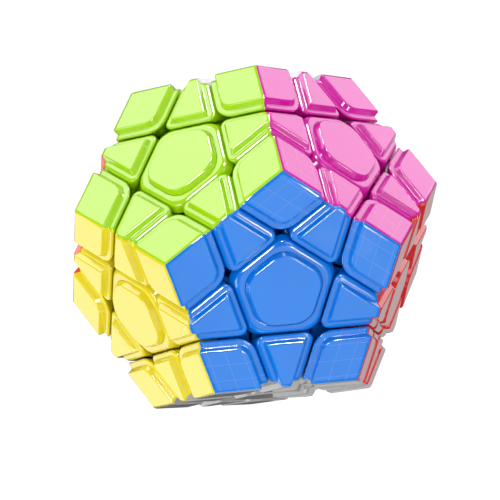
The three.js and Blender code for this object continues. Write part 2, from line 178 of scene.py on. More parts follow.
def new_group(name, inputs, outputs):
    """An empty shader node group with those sockets, given as name: (kind, default)."""
    group = bpy.data.node_groups.new(name, "ShaderNodeTree")
    for label, (kind, default) in inputs.items():
        socket = group.interface.new_socket(label, in_out="INPUT", socket_type="NodeSocket" + kind)
        if default is not None:
            socket.default_value = default
    for label, kind in outputs.items():
        group.interface.new_socket(label, in_out="OUTPUT", socket_type="NodeSocket" + kind)
    return group, group.nodes.new("NodeGroupInput"), group.nodes.new("NodeGroupOutput")


def noise(tree, vector, scale, detail):
    """A noise texture on a vector."""
    node = tree.nodes.new("ShaderNodeTexNoise")
    node.inputs["Scale"].default_value = scale
    node.inputs["Detail"].default_value = detail
    tree.links.new(vector, node.inputs["Vector"])
    return node.outputs["Fac"]


def remap(tree, value, low, high, to_low, to_high):
    """Maps a value from one range to another, with smooth ends; to_low and to_high may be sockets."""
    node = tree.nodes.new("ShaderNodeMapRange")
    node.interpolation_type = "SMOOTHSTEP"
    tree.links.new(value, node.inputs["Value"])
    node.inputs["From Min"].default_value = low
    node.inputs["From Max"].default_value = high
    for label, end in (("To Min", to_low), ("To Max", to_high)):
        if isinstance(end, (int, float)):
            node.inputs[label].default_value = end
        else:
            tree.links.new(end, node.inputs[label])
    return node.outputs["Result"]


def mixed(tree, factor, first, second):
    """Mixes two colours; the factor and the colours may be plain values or sockets."""
    node = tree.nodes.new("ShaderNodeMix")
    node.data_type = "RGBA"
    for socket, given in (("Factor_Float", factor), ("A_Color", first), ("B_Color", second)):
        target = next(s for s in node.inputs if s.identifier == socket)
        if isinstance(given, (int, float, tuple)):
            target.default_value = given
        else:
            tree.links.new(given, target)
    return next(s for s in node.outputs if s.identifier == "Result_Color")


SWIRL_SCALE, THUMB_SCALE, RIPPLE_SCALE = 55.0, 120.0, 420.0  # noise cells in a metre
grain, given, made = new_group(
    "Moulded grain",
    {"Vector": ("Vector", None), "Colour": ("Color", (1, 1, 1, 1)), "Deep colour": ("Color", (1, 1, 1, 1)),
     "Polished": ("Float", 0.1), "Handled": ("Float", 0.2)},
    {"Colour": "Color", "Roughness": "Float", "Height": "Float"},
)
swirl = remap(grain, noise(grain, given.outputs["Vector"], SWIRL_SCALE, 2.0), 0.35, 0.7, 0.0, 0.5)
colour = mixed(grain, swirl, given.outputs["Colour"], given.outputs["Deep colour"])
thumbed = noise(grain, given.outputs["Vector"], THUMB_SCALE, 4.0)
dulled = remap(grain, thumbed, 0.48, 0.72, given.outputs["Polished"], given.outputs["Handled"])
ripple = noise(grain, given.outputs["Vector"], RIPPLE_SCALE, 1.0)
grain.links.new(colour, made.inputs["Colour"])
grain.links.new(dulled, made.inputs["Roughness"])
grain.links.new(ripple, made.inputs["Height"])
print("group", grain.name, "sockets", len(grain.interface.items_tree))

# %% [markdown]
# ## Painted reflection: a window grid
#
# Four corner pieces round the blue face show a faint grid of thin light lines in their flats, set parallel
# to the tile's outer edges. The lines are a painted reflection of a window's frames, not marks in the
# plastic, so they are a mask that lightens the colour: the tile's own slanted coordinates are folded into
# half a cell, and what lies near its start is the line.

# %% The painted window reflection group
# Sizes of the painted window reflection: its pitch, the half width of its lines, how much white they add and
# where they start.
GRID_PITCH = 4.0
GRID_LINE = 0.11  # half the width of a line
WINDOW_REFLECTION_STRENGTH = 0.07  # how much white a line adds
GRID_STARTS = {"X": 1.65, "Y": 3.2}  # where the first line runs, from each outer edge

grid, given, made = new_group(
    "Painted window reflection",
    {"Tile": ("Vector", None), "Pitch": ("Float", GRID_PITCH), "Half width": ("Float", GRID_LINE)},
    {"Mask": "Float"},
)


def maths(tree, operation, *values, clamp=False):
    """A math node on numbers or sockets."""
    node = tree.nodes.new("ShaderNodeMath")
    node.operation = operation
    node.use_clamp = clamp
    for socket, value in zip(node.inputs, values):
        if isinstance(value, (int, float)):
            socket.default_value = value
        else:
            tree.links.new(value, socket)
    return node.outputs["Value"]


parts = grid.nodes.new("ShaderNodeSeparateXYZ")
grid.links.new(given.outputs["Tile"], parts.inputs["Vector"])
lines = []
for axis, start in GRID_STARTS.items():
    moved = maths(grid, "SUBTRACT", parts.outputs[axis], start)
    off_line = maths(grid, "PINGPONG", moved, maths(grid, "MULTIPLY", given.outputs["Pitch"], 0.5))
    sharp = maths(grid, "DIVIDE", off_line, given.outputs["Half width"])
    lines.append(maths(grid, "SUBTRACT", 1.0, maths(grid, "MULTIPLY", sharp, sharp), clamp=True))
grid.links.new(maths(grid, "MAXIMUM", *lines), made.inputs["Mask"])
print("group", grid.name, "pitch", GRID_PITCH, "mm")

# %% [markdown]
# ## Plastic
#
# The plastic is coloured right through and polished by the mould. One function makes the material for
# every colour: a Principled shader with a clear coat for the wet-looking highlights, the grain group for
# colour, roughness and a whisper of bump. Where the painted window reflection is wanted, its mask lightens
# the colour with painted light lines.

# %% Plastic materials
RIPPLE_DEPTH = 0.012 * MM
PIGMENTS = {  # linear colour of the plastic, and the deeper shade in its swirls
    "white": ((0.80, 0.79, 0.84), (0.72, 0.72, 0.79)),
    "grey": ((0.40, 0.395, 0.39), (0.35, 0.35, 0.35)),
    "pink": ((0.73, 0.006, 0.42), (0.66, 0.004, 0.36)),
    "lime": ((0.41, 0.74, 0.0), (0.37, 0.69, 0.0)),
    "blue": ((0.0, 0.21, 0.80), (0.0, 0.18, 0.73)),
    "yellow": ((0.86, 0.73, 0.012), (0.82, 0.67, 0.008)),
    "red": ((0.72, 0.014, 0.02), (0.64, 0.01, 0.014)),
    "orange": ((0.86, 0.11, 0.004), (0.80, 0.085, 0.003)),
    "cream": ((0.84, 0.72, 0.42), (0.80, 0.67, 0.37)),
    "navy": ((0.012, 0.03, 0.26), (0.009, 0.022, 0.21)),
    "green": ((0.01, 0.30, 0.06), (0.007, 0.25, 0.045)),
    "purple": ((0.19, 0.035, 0.42), (0.16, 0.027, 0.36)),
    "core": ((0.028, 0.028, 0.032), (0.02, 0.02, 0.024)),
}


def principled(name):
    """A new material, its node tree and its Principled shader."""
    material = bpy.data.materials.new(name)
    material.use_nodes = True
    return material, material.node_tree, material.node_tree.nodes["Principled BSDF"]


def bumped(tree, height, depth):
    """A normal that ripples by that many metres."""
    bump = tree.nodes.new("ShaderNodeBump")
    bump.inputs["Distance"].default_value = depth
    tree.links.new(height, bump.inputs["Height"])
    return bump.outputs["Normal"]


def grained(tree, colour, deep, polished, handled):
    """A grain group node on the object's own coordinates, with this finish's values."""
    node = tree.nodes.new("ShaderNodeGroup")
    node.node_tree = grain
    tree.links.new(tree.nodes.new("ShaderNodeTexCoord").outputs["Object"], node.inputs["Vector"])
    node.inputs["Colour"].default_value = (*colour, 1)
    node.inputs["Deep colour"].default_value = (*deep, 1)
    node.inputs["Polished"].default_value = polished
    node.inputs["Handled"].default_value = handled
    return node.outputs


def plastic(name, colour, deep, polished=0.12, handled=0.2, window_reflected=False):
    material, tree, shader = principled(name)
    shader.inputs["IOR"].default_value = 1.55
    shader.inputs["Coat Weight"].default_value = 1.0
    shader.inputs["Coat Roughness"].default_value = 0.02
    shader.inputs["Coat IOR"].default_value = 1.6
    moulded = grained(tree, colour, deep, polished, handled)
    surface = moulded["Colour"]
    # Painted reflection: the light lines of a window grid are mixed into the base colour.
    if window_reflected:
        tile = tree.nodes.new("ShaderNodeUVMap")
        tile.uv_map = "Tile"
        window_reflection = tree.nodes.new("ShaderNodeGroup")
        window_reflection.node_tree = grid
        tree.links.new(tile.outputs["UV"], window_reflection.inputs["Tile"])
        faint = maths(tree, "MULTIPLY", window_reflection.outputs["Mask"], WINDOW_REFLECTION_STRENGTH)
        surface = mixed(tree, faint, surface, (1.0, 1.0, 1.0, 1.0))
    tree.links.new(surface, shader.inputs["Base Color"])
    tree.links.new(moulded["Roughness"], shader.inputs["Roughness"])
    tree.links.new(bumped(tree, moulded["Height"], RIPPLE_DEPTH), shader.inputs["Normal"])
    return material


PLASTIC = {name: plastic(name + "_plastic", *pair) for name, pair in PIGMENTS.items() if name != "core"}
PLASTIC["core"] = plastic("core_plastic", *PIGMENTS["core"], polished=0.35, handled=0.5)
# Corner pieces whose tiles get the painted window reflection, and the plastics that carry it.
WINDOW_REFLECTED_PIECES = [("pink", "lime", "blue"), ("pink", "blue", "red"), ("blue", "grey", "red"),
                  ("blue", "yellow", "grey")]
WINDOW_REFLECTED = {name: plastic(name + "_gridded", *PIGMENTS[name], window_reflected=True)
           for name in sorted({colour for piece in WINDOW_REFLECTED_PIECES for colour in piece})}
print("plastics", len(PLASTIC), "with a grid", sorted(WINDOW_REFLECTED))

# %% [markdown]
# ## Round corners on a line
#
# Every rim and step on the tiles is a line with rounded corners, and so is every tile's outline. One
# helper serves both: it walks along a list of points that each name a radius, and puts an arc in place of
# each inner point. A fixed number of steps in each arc matters more than it seems to, because rows with
# equal counts can be joined into a neat grid of quads.

# %% The rounding helper


def rounded(points, steps):
    """The line through (x, y, radius) points, with an arc of that radius at each inner one."""
    line = [Vector(points[0][:2])]
    for before, here, beyond in zip(points, points[1:], points[2:]):
        line += corner_arc(Vector(before[:2]), Vector(here[:2]), Vector(beyond[:2]), here[2], steps)
    return line + [Vector(points[-1][:2])]


def corner_arc(before, here, beyond, radius, steps):
    """Points of the arc that rounds off the corner at here."""
    back, on = (before - here).normalized(), (beyond - here).normalized()
    half = math.acos(max(-1.0, min(1.0, back.dot(on)))) / 2
    middle = here + (back + on).normalized() * radius / math.sin(half)
    first = here + back * radius / math.tan(half) - middle
    last = here + on * radius / math.tan(half) - middle
    turn = math.pi - 2 * half
    return [middle + (first * math.sin((1 - i / steps) * turn) + last * math.sin(i / steps * turn))
            / math.sin(turn) for i in range(steps + 1)]


print("arc points", len(corner_arc(Vector((0, 1)), Vector((0, 0)), Vector((1, 0)), 0.5, 4)))

# %% [markdown]
# ## Tile outline and profile
#
# Seen from above, a tile is bounded by straight seams and by ridges, where it meets the next colour. Seen
# in section, each seam side goes up a wall, over a round rim, along the ledge and up a leaning wall to
# the plateau. A layer's cut is flat and parallel to its face, so seen from the face next to it the wall
# isn't upright: it leans half a millimetre for each millimetre down, outward on one side of the seam and
# inward on the other. The outline is worked out afresh at each height of the profile.

# %% Outline of a tile at one height
WALL_DEPTH = 3.6  # from the plateau down to the underside of a shell
RIDGE_ROUND = 1.6  # radius that softens the ridge between two colours
RIDGE_STEPS = 5
CORNER_STEPS = 10
FIFTH = math.radians(72)
HALF_SEAM = SEAM / 2


def side(turn, reach, lean=0.0):
    """A side of a tile: the angle of its outward normal, its distance from the middle, and its lean."""
    return Vector((math.cos(turn), math.sin(turn))), reach, lean


def outer_seam(turn):
    """A seam that looks towards the neighbour at that angle."""
    return side(turn, SEAM_REACH - HALF_SEAM, SEAM_LEAN)


def inner_seam(turn):
    """A seam that looks away from the neighbour at that angle."""
    return side(turn + math.pi, -(SEAM_REACH + HALF_SEAM), -SEAM_LEAN)


def line_of(seam, inset, height):
    normal, reach, lean = seam
    return normal, reach - inset + lean * max(0.0, -STEP - height)


def crossing(one, other):
    """Where two lines cross, each given by its normal and distance."""
    (a, p), (b, q) = one, other
    size = a.x * b.y - a.y * b.x
    return Vector(((p * b.y - q * a.y) / size, (q * a.x - p * b.x) / size))


def ridge_steps(height):
    """(distance in from the sharp edge, drop) over the rounded ridge, from its foot to the mitre."""
    half_turn = math.atan(1 / GOLDEN)
    return [(-height / GOLDEN + RIDGE_ROUND * (1 / GOLDEN - math.sin(half_turn * i / RIDGE_STEPS)),
             RIDGE_ROUND * (1 - math.cos(half_turn * i / RIDGE_STEPS))) for i in range(RIDGE_STEPS + 1)]


def ridge_points(seam_line, ridge, height):
    """The points where a seam's line runs over the rounded ridge, from its foot to the mitre."""
    return [(*crossing(seam_line, (ridge, FACE_APOTHEM - out)), height - drop)
            for out, drop in ridge_steps(height)]


print("ridge drop", round(ridge_steps(0)[-1][1], 3), "mm")

# %% [markdown]
# ## Tiles that end at a ridge
#
# Corner and edge tiles are swept: the outline at each height is one row of points, from ridge to ridge.
# Rows joined in order make the wall, rim, ledge and step. A lid closes the plateau and another the
# underside, and the mitre faces close the sides where the next colour's tile touches. A Boolean could cut
# such a shape from a block, but it leaves ragged triangles along the fillets, which glossy plastic shows.

# %% Rows, lids and mitres


def tile_row(seams, start_ridge, end_ridge, radius, inset, height):
    """One row of a tile's surface, from the mitre of one ridge to the mitre of the other."""
    lines = [line_of(seam, inset, height) for seam in seams]
    first = ridge_points(lines[0], start_ridge, height)
    last = ridge_points(lines[-1], end_ridge, height)
    corners = [crossing(a, b) for a, b in zip(lines, lines[1:])]
    path = [first[0][:2], *corners, last[0][:2]]
    bend = rounded([(*p, radius) for p in path], CORNER_STEPS)[1:-1]
    return first[::-1] + [(*p, height) for p in bend] + last


def lid_faces(row, middle):
    """Faces that close a row. middle holds the points between its two ends, or nothing."""
    n = RIDGE_STEPS
    across = middle or [row[-1 - i] for i in range(n + 1)]
    faces = [(row[i], row[i + 1], across[i + 1], across[i]) for i in range(n)]
    if middle:
        faces += [(row[-1 - i], across[i], across[i + 1], row[-2 - i]) for i in range(n)]
    return faces + [tuple(row[n : len(row) - n]) + ((middle[n],) if middle else ())]


def swept_tile(name, seams, start_ridge, end_ridge, profile, radius_at):
    """A closed shell from its seams, its ridges and its profile of (inset, height) points."""
    rows = [tile_row(seams, start_ridge, end_ridge, radius_at(inset), inset, height)
            for inset, height in profile]
    points, faces = [p for row in rows for p in row], []
    width = len(rows[0])
    numbers = [list(range(k * width, (k + 1) * width)) for k in range(len(rows))]
    for low, high in zip(numbers, numbers[1:]):
        faces += [(low[i], low[i + 1], high[i + 1], high[i]) for i in range(width - 1)]
    middles = []
    for row, (inset, height) in ((numbers[0], profile[0]), (numbers[-1], profile[-1])):
        middle = []
        if start_ridge != end_ridge:
            middle = list(range(len(points), len(points) + RIDGE_STEPS + 1))
            points += [(*crossing((start_ridge, FACE_APOTHEM - out), (end_ridge, FACE_APOTHEM - out)),
                        height - drop) for out, drop in reversed(ridge_steps(height))]
        middles.append(middle)
        faces += lid_faces(row, middle)
    starts, ends = [row[0] for row in numbers], [row[-1] for row in numbers]
    if start_ridge == end_ridge:
        faces.append(tuple(starts + ends[::-1]))
    else:
        faces += [tuple(column + [middles[1][0], middles[0][0]]) for column in (starts, ends)]
    return closed_mesh(name, points, faces)


def closed_mesh(name, points, faces):
    """A mesh in millimetres with its faces turned outward."""
    mesh = bpy.data.meshes.new(name)
    mesh.from_pydata([tuple(p) for p in points], [], faces)
    work = bmesh.new()
    work.from_mesh(mesh)
    bmesh.ops.recalc_face_normals(work, faces=work.faces)
    work.to_mesh(mesh)
    work.free()
    return mesh


def open_edges(mesh):
    """How many edges don't have exactly two faces: none, if the mesh is closed."""
    work = bmesh.new()
    work.from_mesh(mesh)
    count = sum(len(edge.link_faces) != 2 for edge in work.edges)
    work.free()
    return count


print("faces in a lid over 20 points:", len(lid_faces(list(range(20)), [])))

# %% [markdown]
# ## The step's section
#
# From the underside up: wall, outer rim, ledge, a small concave radius at the foot of the step, the
# leaning wall, and the plateau's rounded rim. Corner and edge tiles differ only in how wide the ledge is
# and how round their inner corners are.

# %% Corner and edge tiles
FOOT_ROUND = 0.3  # concave radius at the foot of the step
TOP_ROUND = 0.45  # radius of the plateau's rim
RIM_STEPS = 5


def step_profile(ledge):
    """(inset, height) points from the underside of a shell to its plateau."""
    return rounded([
        (0, -WALL_DEPTH, 0),
        (0, -STEP, RIM),
        (ledge, -STEP, FOOT_ROUND),
        (ledge + WALL_LEAN, 0, TOP_ROUND),
        (ledge + 2 * WALL_LEAN + TOP_ROUND, 0, 0),
    ], RIM_STEPS)[:-1]


def radius_rule(base, plateau, ledge):
    """The radius of an outline's corners: base at the wall, plateau from the step's foot inward."""
    return lambda inset: base + (plateau - base) * min(1.0, inset / ledge)


CORNER_LEDGE, CORNER_ROUND, CORNER_TOP_ROUND = 1.7, 5.0, 3.2
EDGE_LEDGE, EDGE_ROUND, EDGE_TOP_ROUND = 1.35, 1.8, 0.45
TOWARDS = Vector((1, 0))
NEXT = Vector((math.cos(FIFTH), math.sin(FIFTH)))
corner_tile = swept_tile("corner_tile", [inner_seam(0), inner_seam(FIFTH)], NEXT, TOWARDS,
                         step_profile(CORNER_LEDGE),
                         radius_rule(CORNER_ROUND, CORNER_TOP_ROUND, CORNER_LEDGE))
edge_tile = swept_tile("edge_tile", [outer_seam(FIFTH), inner_seam(0), outer_seam(-FIFTH)],
                       TOWARDS, TOWARDS, step_profile(EDGE_LEDGE),
                       radius_rule(EDGE_ROUND, EDGE_TOP_ROUND, EDGE_LEDGE))
for mesh in (corner_tile, edge_tile):
    print(mesh.name, "faces", len(mesh.polygons), "open edges", open_edges(mesh))

# %% [markdown]
# ## Centres and caps
#
# A centre is a closed ring of five seams, so its rows run all the way round and need no mitres. The
# plateau is a separate cap that snaps into a shallow recess: it leaves a hairline where it meets the
# ledge, and on the three turning layers it pulls off and shows the screw. Below the recess, the rows
# change from five-sided to round, which works because every row has the same number of points.

# %% Rings that join into one skin


def ringed_mesh(name, rings, hole=False):
    """A closed mesh through rings of equal length. The ends get lids, or meet if a hole goes through."""
    width = len(rings[0])
    numbers = [list(range(k * width, (k + 1) * width)) for k in range(len(rings))]
    pairs = list(zip(numbers, numbers[1:]))
    faces = []
    if hole:
        pairs.append((numbers[-1], numbers[0]))
    else:
        faces = [tuple(numbers[0]), tuple(numbers[-1])]
    for low, high in pairs:
        faces += [(low[i], low[(i + 1) % width], high[(i + 1) % width], high[i]) for i in range(width)]
    return closed_mesh(name, [p for ring in rings for p in ring], faces)


def five_sided(seam_reach, radius, inset, height, lean=SEAM_LEAN):
    """One ring of a centre: five seams with rounded corners between them."""
    lines = [line_of(side(FIFTH * i, seam_reach, lean), inset, height) for i in range(5)]
    corners = [crossing(a, b) for a, b in zip(lines, lines[1:] + lines[:1])]
    ring = []
    for i, here in enumerate(corners):
        ring += corner_arc(corners[i - 1], here, corners[(i + 1) % 5], radius, CORNER_STEPS)
    return [(*p, height) for p in ring]


def circle_like(ring, radius, height):
    """A circle with as many points as a five-sided ring, in step with its first rounded corner."""
    middle = CORNER_STEPS // 2
    start = math.atan2(ring[middle][1], ring[middle][0])
    turns = [start + 2 * math.pi * (i - middle) / len(ring) for i in range(len(ring))]
    return [(radius * math.cos(turn), radius * math.sin(turn), height) for turn in turns]


print("points in a five-sided ring:", len(five_sided(SEAM_REACH, 1, 0, 0)))

# %% [markdown]
# ## A socket for the cap
#
# The base is the ledge with a recess for the cap and, below that, a round socket for its plug. The real
# cap is held by a light press fit. A separate cap is worth the trouble even on the centres that stay
# still, because the hairline round it catches the light as the real gap does.

# %% Centre bases and caps
CENTRE_LEDGE, CENTRE_ROUND, CAP_ROUND = 1.6, 4.3, 5.2
RECESS = 1.0
HAIRLINE = 0.04  # gap round the cap
FIT = 0.3
PLUG_LEDGE, PLUG_LENGTH = 1.2, 2.2
SOCKET_WALL, SOCKET_FLOOR = 0.8, 0.6
CAP_APOTHEM = SEAM_REACH - HALF_SEAM - CENTRE_LEDGE
PLUG_RADIUS = CAP_APOTHEM - PLUG_LEDGE
PLUG_END = -STEP - RECESS + FIT - PLUG_LENGTH
SCREW_HEAD, SCREW_HEAD_HEIGHT, WASHER, WASHER_HEIGHT = 3.4, 1.8, 3.8, 0.6
SPRING, SPRING_LENGTH, SHANK = 3.1, 3.6, 1.5
HEAD_BOTTOM = PLUG_END - FIT - SCREW_HEAD_HEIGHT
SEAT = HEAD_BOTTOM - WASHER_HEIGHT - SPRING_LENGTH - FIT
BORE = WASHER + FIT
SHANK_HOLE = SHANK + FIT
WELL_RADIUS = PLUG_RADIUS + FIT + SOCKET_WALL
WELL_FLOOR = PLUG_END - FIT - SOCKET_FLOOR
SHELL_BOTTOM = -WALL_DEPTH + 0.2  # a centre's shell is a little shallower than a tile's
LIP = 0.3  # width left at the recess's mouth for its small round
MOUTH_ROUND = 0.12
SOCKET_CHAMFER = 0.15
PLUG_CHAMFER = 0.4

base_radius = radius_rule(CENTRE_ROUND, CAP_ROUND, CENTRE_LEDGE)
rim_line = rounded([(0, SHELL_BOTTOM, 0), (0, -STEP, RIM), (CENTRE_LEDGE - LIP, -STEP, 0)], RIM_STEPS)
mouth_line = rounded([(CENTRE_LEDGE - LIP, -STEP, 0), (CENTRE_LEDGE, -STEP, MOUTH_ROUND),
                      (CENTRE_LEDGE, -STEP - RECESS, 0)], 3)[1:]
OUTER = SEAM_REACH - HALF_SEAM
base_rings = [five_sided(OUTER, base_radius(x), x, z) for x, z in rim_line]
base_rings += [five_sided(OUTER + HAIRLINE, CAP_ROUND, x, z, lean=0.0) for x, z in mouth_line]


def circles(sizes):
    """Round rings, given as (radius, height), that join on to the five-sided ones."""
    return [circle_like(base_rings[0], radius, height) for radius, height in sizes]


socket = ((PLUG_RADIUS + FIT + SOCKET_CHAMFER, -STEP - RECESS),
          (PLUG_RADIUS + FIT, -STEP - RECESS - SOCKET_CHAMFER),
          (PLUG_RADIUS + FIT, PLUG_END - FIT))
well = ((WELL_RADIUS, WELL_FLOOR), (WELL_RADIUS, SHELL_BOTTOM))
closed_base = ringed_mesh("closed_base", circles(well) + base_rings + circles(socket))

cap_line = rounded([(0, -STEP - RECESS + FIT, 0), (0, -STEP, 0.1), (WALL_LEAN, 0, TOP_ROUND),
                    (2 * WALL_LEAN + TOP_ROUND, 0, 0)], RIM_STEPS)[:-1]
cap_rings = [five_sided(CAP_APOTHEM, max(0.5, CAP_ROUND - x), x, z, lean=0.0) for x, z in cap_line]
plug_rings = [circle_like(cap_rings[0], PLUG_RADIUS - x, z) for x, z in
              ((PLUG_CHAMFER, PLUG_END), (0, PLUG_END + PLUG_CHAMFER), (0, -STEP - RECESS + FIT))]
cap = ringed_mesh("cap", plug_rings + cap_rings)
for mesh in (closed_base, cap):
    print(mesh.name, "faces", len(mesh.polygons), "open edges", open_edges(mesh))

# %% [markdown]
# ## Feet, necks and skirts
#
# Under its tiles each piece has a foot that hooks under its neighbours and slides on round skirts, so
# these surfaces are parts of balls about the puzzle's middle. Each piece sits in its own direction, and
# the question is how far a ray may lean away from it before it meets a cut or a foot cone. That angle,
# asked at many turns and many radii, gives the rings of the shape. Blending the limits softly, rather
# than taking the smallest, rounds the foot's corners as a mould would.

# %% How far a ray may lean
SLIP = 0.25
FOOT_LIP = 1.9
FOOT_THICKNESS = 5.2
ROOF = 2.5
NECK_INSET = 0.35
RING_POINTS = 72
SOFTNESS = 14  # higher is sharper
BETWEEN_AXES = math.acos(NORMAL_COS)


def foot_top():
    """Radius of the feet's top, so that ROOF is left over the tip of a foot under a centre."""
    radius, last = LEDGE_LEVEL - ROOF, 0.0
    while abs(radius - last) > 1e-9:
        tip = BETWEEN_AXES - math.acos(CUT_LEVEL / radius) - FOOT_LIP / radius
        last, radius = radius, (LEDGE_LEVEL - ROOF) / math.cos(tip)
    return radius


FOOT_TOP = foot_top()
FOOT_BOTTOM = FOOT_TOP - FOOT_THICKNESS
FOOT_ANGLE = math.acos(CUT_LEVEL / FOOT_TOP) + FOOT_LIP / FOOT_TOP


def reach(out, lean_to, limits):
    """The angle that a ray can lean from out towards lean_to. A limit is (axis, cosine, inside)."""
    total = 0.0
    for axis, cosine, inside in limits:
        along, across = out.dot(axis), lean_to.dot(axis)
        size, offset = math.hypot(along, across), math.atan2(across, along)
        if cosine < size:
            turn = math.acos(cosine / size)
            angle = offset + turn if inside else offset - turn
            if angle > 0:
                total += angle**-SOFTNESS
    return total ** (-1 / SOFTNESS)


def leaning_ring(out, toward, radius, limits, inset=0.0):
    """A ring of points at that radius, each as far from out as the limits let it be."""
    u = (toward - out * out.dot(toward)).normalized()
    v = out.cross(u)
    ring = []
    for i in range(RING_POINTS):
        turn = 2 * math.pi * i / RING_POINTS
        lean_to = u * math.cos(turn) + v * math.sin(turn)
        angle = reach(out, lean_to, limits) - inset / radius
        ring.append(radius * (out * math.cos(angle) + lean_to * math.sin(angle)))
    return ring


def cone_limits(inside, outside):
    """Limits at the foot cones, with the slip left free."""
    own, other = FOOT_ANGLE - SLIP / FOOT_TOP, FOOT_ANGLE + SLIP / FOOT_TOP
    return ([(AXES[f], math.cos(own), True) for f in inside]
            + [(AXES[f], math.cos(other), False) for f in outside])


def cut_limits(radius, inside, outside):
    """Limits at the layers' cuts, for a ring at that radius."""
    own, other = CUT_LEVEL + HALF_SEAM + NECK_INSET, CUT_LEVEL - HALF_SEAM - NECK_INSET
    return ([(AXES[f], own / radius, True) for f in inside]
            + [(AXES[f], other / radius, False) for f in outside])


print(f"feet from {FOOT_BOTTOM:.2f} to {FOOT_TOP:.2f} mm, foot cone {math.degrees(FOOT_ANGLE):.1f} degrees")

# %% [markdown]
# ## One foot for corners and edges alike
#
# The foot, the neck that passes between the layers and the block inside the tiles are one stack of rings
# along the piece's direction. A real piece is split where its colours meet, so each face of the mesh
# takes the colour of the axis that it lies nearest to.

# %% Stalks
NECK_RINGS = 7
TIP_SHARE = 0.995  # of the way to the point where the tiles' undersides meet
EDGE_SOFTENING = [(0.0, 0.9), (0.12, 0.4), (0.4, 0.1), (0.9, 0.0)]  # up from the foot's end, and inset


def stalk(name, inside):
    """The foot, neck and inner block of a corner or edge piece that belongs to these faces."""
    out = sum((AXES[f] for f in inside), Vector()).normalized()
    outside = [f for f in AXES if f not in inside and all(f in neighbours(g) for g in inside)]
    low, high = FOOT_BOTTOM + SLIP, FOOT_TOP - SLIP
    foot = [(low + up, back) for up, back in EDGE_SOFTENING]
    foot += [(high - up, back) for up, back in reversed(EDGE_SOFTENING)]
    cones = cone_limits(inside, outside)
    rings = [leaning_ring(out, AXES[inside[0]], radius, cones, back) for radius, back in foot]
    for radius in (high, FOOT_TOP + SLIP):
        limits = cut_limits(radius, inside, []) + cone_limits([], outside)
        rings.append(leaning_ring(out, AXES[inside[0]], radius, limits, NECK_INSET))
    under_shell = INRADIUS - WALL_DEPTH + FIT
    tip = TIP_SHARE * under_shell / out.dot(AXES[inside[0]])
    base = FOOT_TOP + SLIP
    for i in range(NECK_RINGS):
        radius = base + (tip - base) * i / (NECK_RINGS - 1)
        limits = cut_limits(radius, inside, outside)
        limits += [(AXES[f], under_shell / radius, False) for f in inside]
        rings.append(leaning_ring(out, AXES[inside[0]], radius, limits))
    mesh = ringed_mesh(name, rings)
    for face in mesh.polygons:
        face.material_index = max(range(len(inside)), key=lambda i: face.center.dot(AXES[inside[i]]))
    return mesh


sample = stalk("sample", ("pink", "lime", "blue"))
print("stalk faces", len(sample.polygons), "open edges", open_edges(sample))
bpy.data.meshes.remove(sample)

# %% [markdown]
# ## Under a centre
#
# A centre carries a boss that meets the core's arm, a round skirt under the neighbours' feet, and a foot
# between them. It is a turned shape as far as the skirt, so its rings are circles there, and above that
# the neighbours' foot cones limit it.

# %% Centre bodies
SKIRT_THICKNESS, SKIRT_GAP, BOSS_RADIUS, POST_GAP, ARM_END = 2.6, 0.8, 6.5, 1.6, 20.0
SKIRT_BOTTOM = FOOT_BOTTOM - SKIRT_THICKNESS
SKIRT_ANGLE = BETWEEN_AXES / 2 - SKIRT_GAP / 2 / FOOT_BOTTOM
POST_RADIUS = FOOT_BOTTOM * math.sin(BETWEEN_AXES - FOOT_ANGLE) - POST_GAP
LINING = 0.1  # gap between a centre's body and the base that is set in it
TUBE_RADIUS = POST_RADIUS - 2 * LINING - 0.1
TUBE_FLOOR = SEAT - 1.2
SKIRT_STEPS = 4
SHOULDER = 0.6  # height of the softened corners at the skirt's rim and the foot's
RIM_DRAWN_IN = 0.02  # radians that the skirt's rim gives way there


def round_ring(axis, toward, radius, level):
    """A circle about an axis, at that level along it."""
    u = (toward - axis * axis.dot(toward)).normalized()
    v = axis.cross(u)
    turns = [2 * math.pi * i / RING_POINTS for i in range(RING_POINTS)]
    return [axis * level + (u * math.cos(t) + v * math.sin(t)) * radius for t in turns]


def ball_ring(axis, toward, radius, angle):
    return round_ring(axis, toward, radius * math.sin(angle), radius * math.cos(angle))


